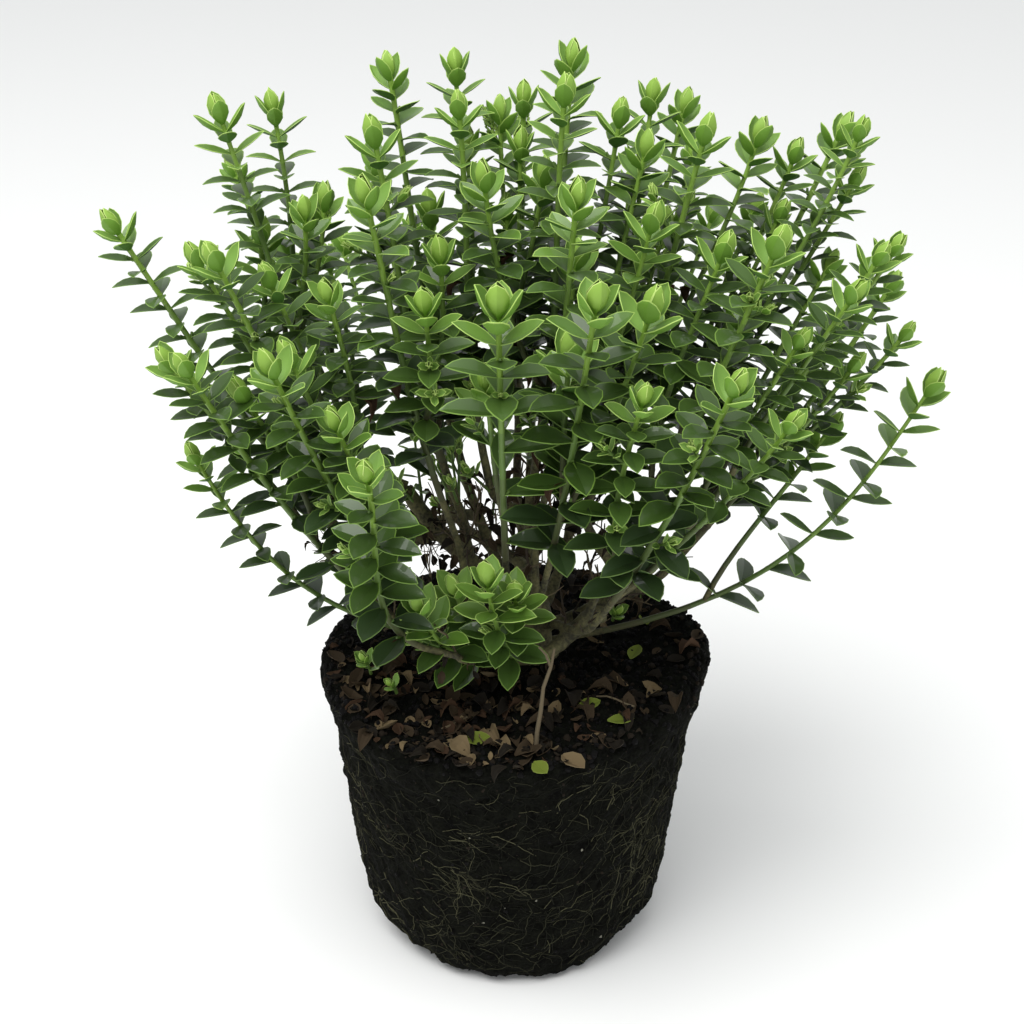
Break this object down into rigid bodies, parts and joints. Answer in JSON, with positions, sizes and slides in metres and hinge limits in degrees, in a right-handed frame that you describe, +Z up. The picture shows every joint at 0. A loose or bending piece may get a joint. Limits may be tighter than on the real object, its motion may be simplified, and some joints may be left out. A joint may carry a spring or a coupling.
{
  "type": "potted shrub plant",
  "caption": "Bushy evergreen shrub with upright leafy shoots on short woody boughs, standing on the flat underside of its bare, tapered root ball.",
  "frame": {"origin": "centre of the root ball's flat underside", "axes": "+Z up along the plant, -Y towards the side shown in the picture, +X to the right of that view"},
  "size_m": [0.3646, 0.3134, 0.404],
  "materials": {
    "root_mix": "rough, matte, damp peat compost netted with fine roots",
    "bark": "rough grey-brown bark",
    "foliage": "satin evergreen leaves with paler edges"
  },
  "bodies": {
    "root": {"bough_back": "bark", "bough_centre": "bark", "bough_front": "bark", "bough_front_left": "bark", "bough_front_left_low": "bark", "bough_front_right": "bark", "bough_left": "bark", "bough_left_back": "bark", "bough_right": "bark", "bough_right_back": "bark", "branch_back": "bark", "branch_back_left": "bark", "branch_back_left_far": "bark", "branch_back_right_far": "bark", "branch_centre_back": "bark", "branch_centre_left": "bark", "branch_front_inner": "bark", "branch_front_left_high": "bark", "branch_front_mid": "bark", "branch_left_far": "bark", "branch_left_front": "bark", "branch_left_front_low": "bark", "branch_left_inner": "bark", "branch_right_back_far": "bark", "branch_right_front": "bark", "branch_right_high": "bark", "branch_right_low": "bark", "foliage_back": "foliage", "foliage_back_far": "foliage", "foliage_back_left": "foliage", "foliage_back_left_far": "foliage", "foliage_back_left_high": "foliage", "foliage_back_right_far": "foliage", "foliage_centre": "foliage", "foliage_centre_back": "foliage", "foliage_centre_left": "foliage", "foliage_front_high": "foliage", "foliage_front_inner": "foliage", "foliage_front_left": "foliage", "foliage_front_left_high": "foliage", "foliage_front_left_low": "foliage", "foliage_front_mid": "foliage", "foliage_front_right_low": "foliage", "foliage_left_far": "foliage", "foliage_left_front": "foliage", "foliage_left_front_low": "foliage", "foliage_left_high": "foliage", "foliage_left_inner": "foliage", "foliage_low_front": "foliage", "foliage_low_front_left": "foliage", "foliage_low_left": "foliage", "foliage_low_right": "foliage", "foliage_right_back": "foliage", "foliage_right_back_far": "foliage", "foliage_right_far": "foliage", "foliage_right_front": "foliage", "foliage_right_high": "foliage", "foliage_right_low": "foliage", "root_ball": "root_mix", "stem_base": "bark"}
  },
  "joints": []
}
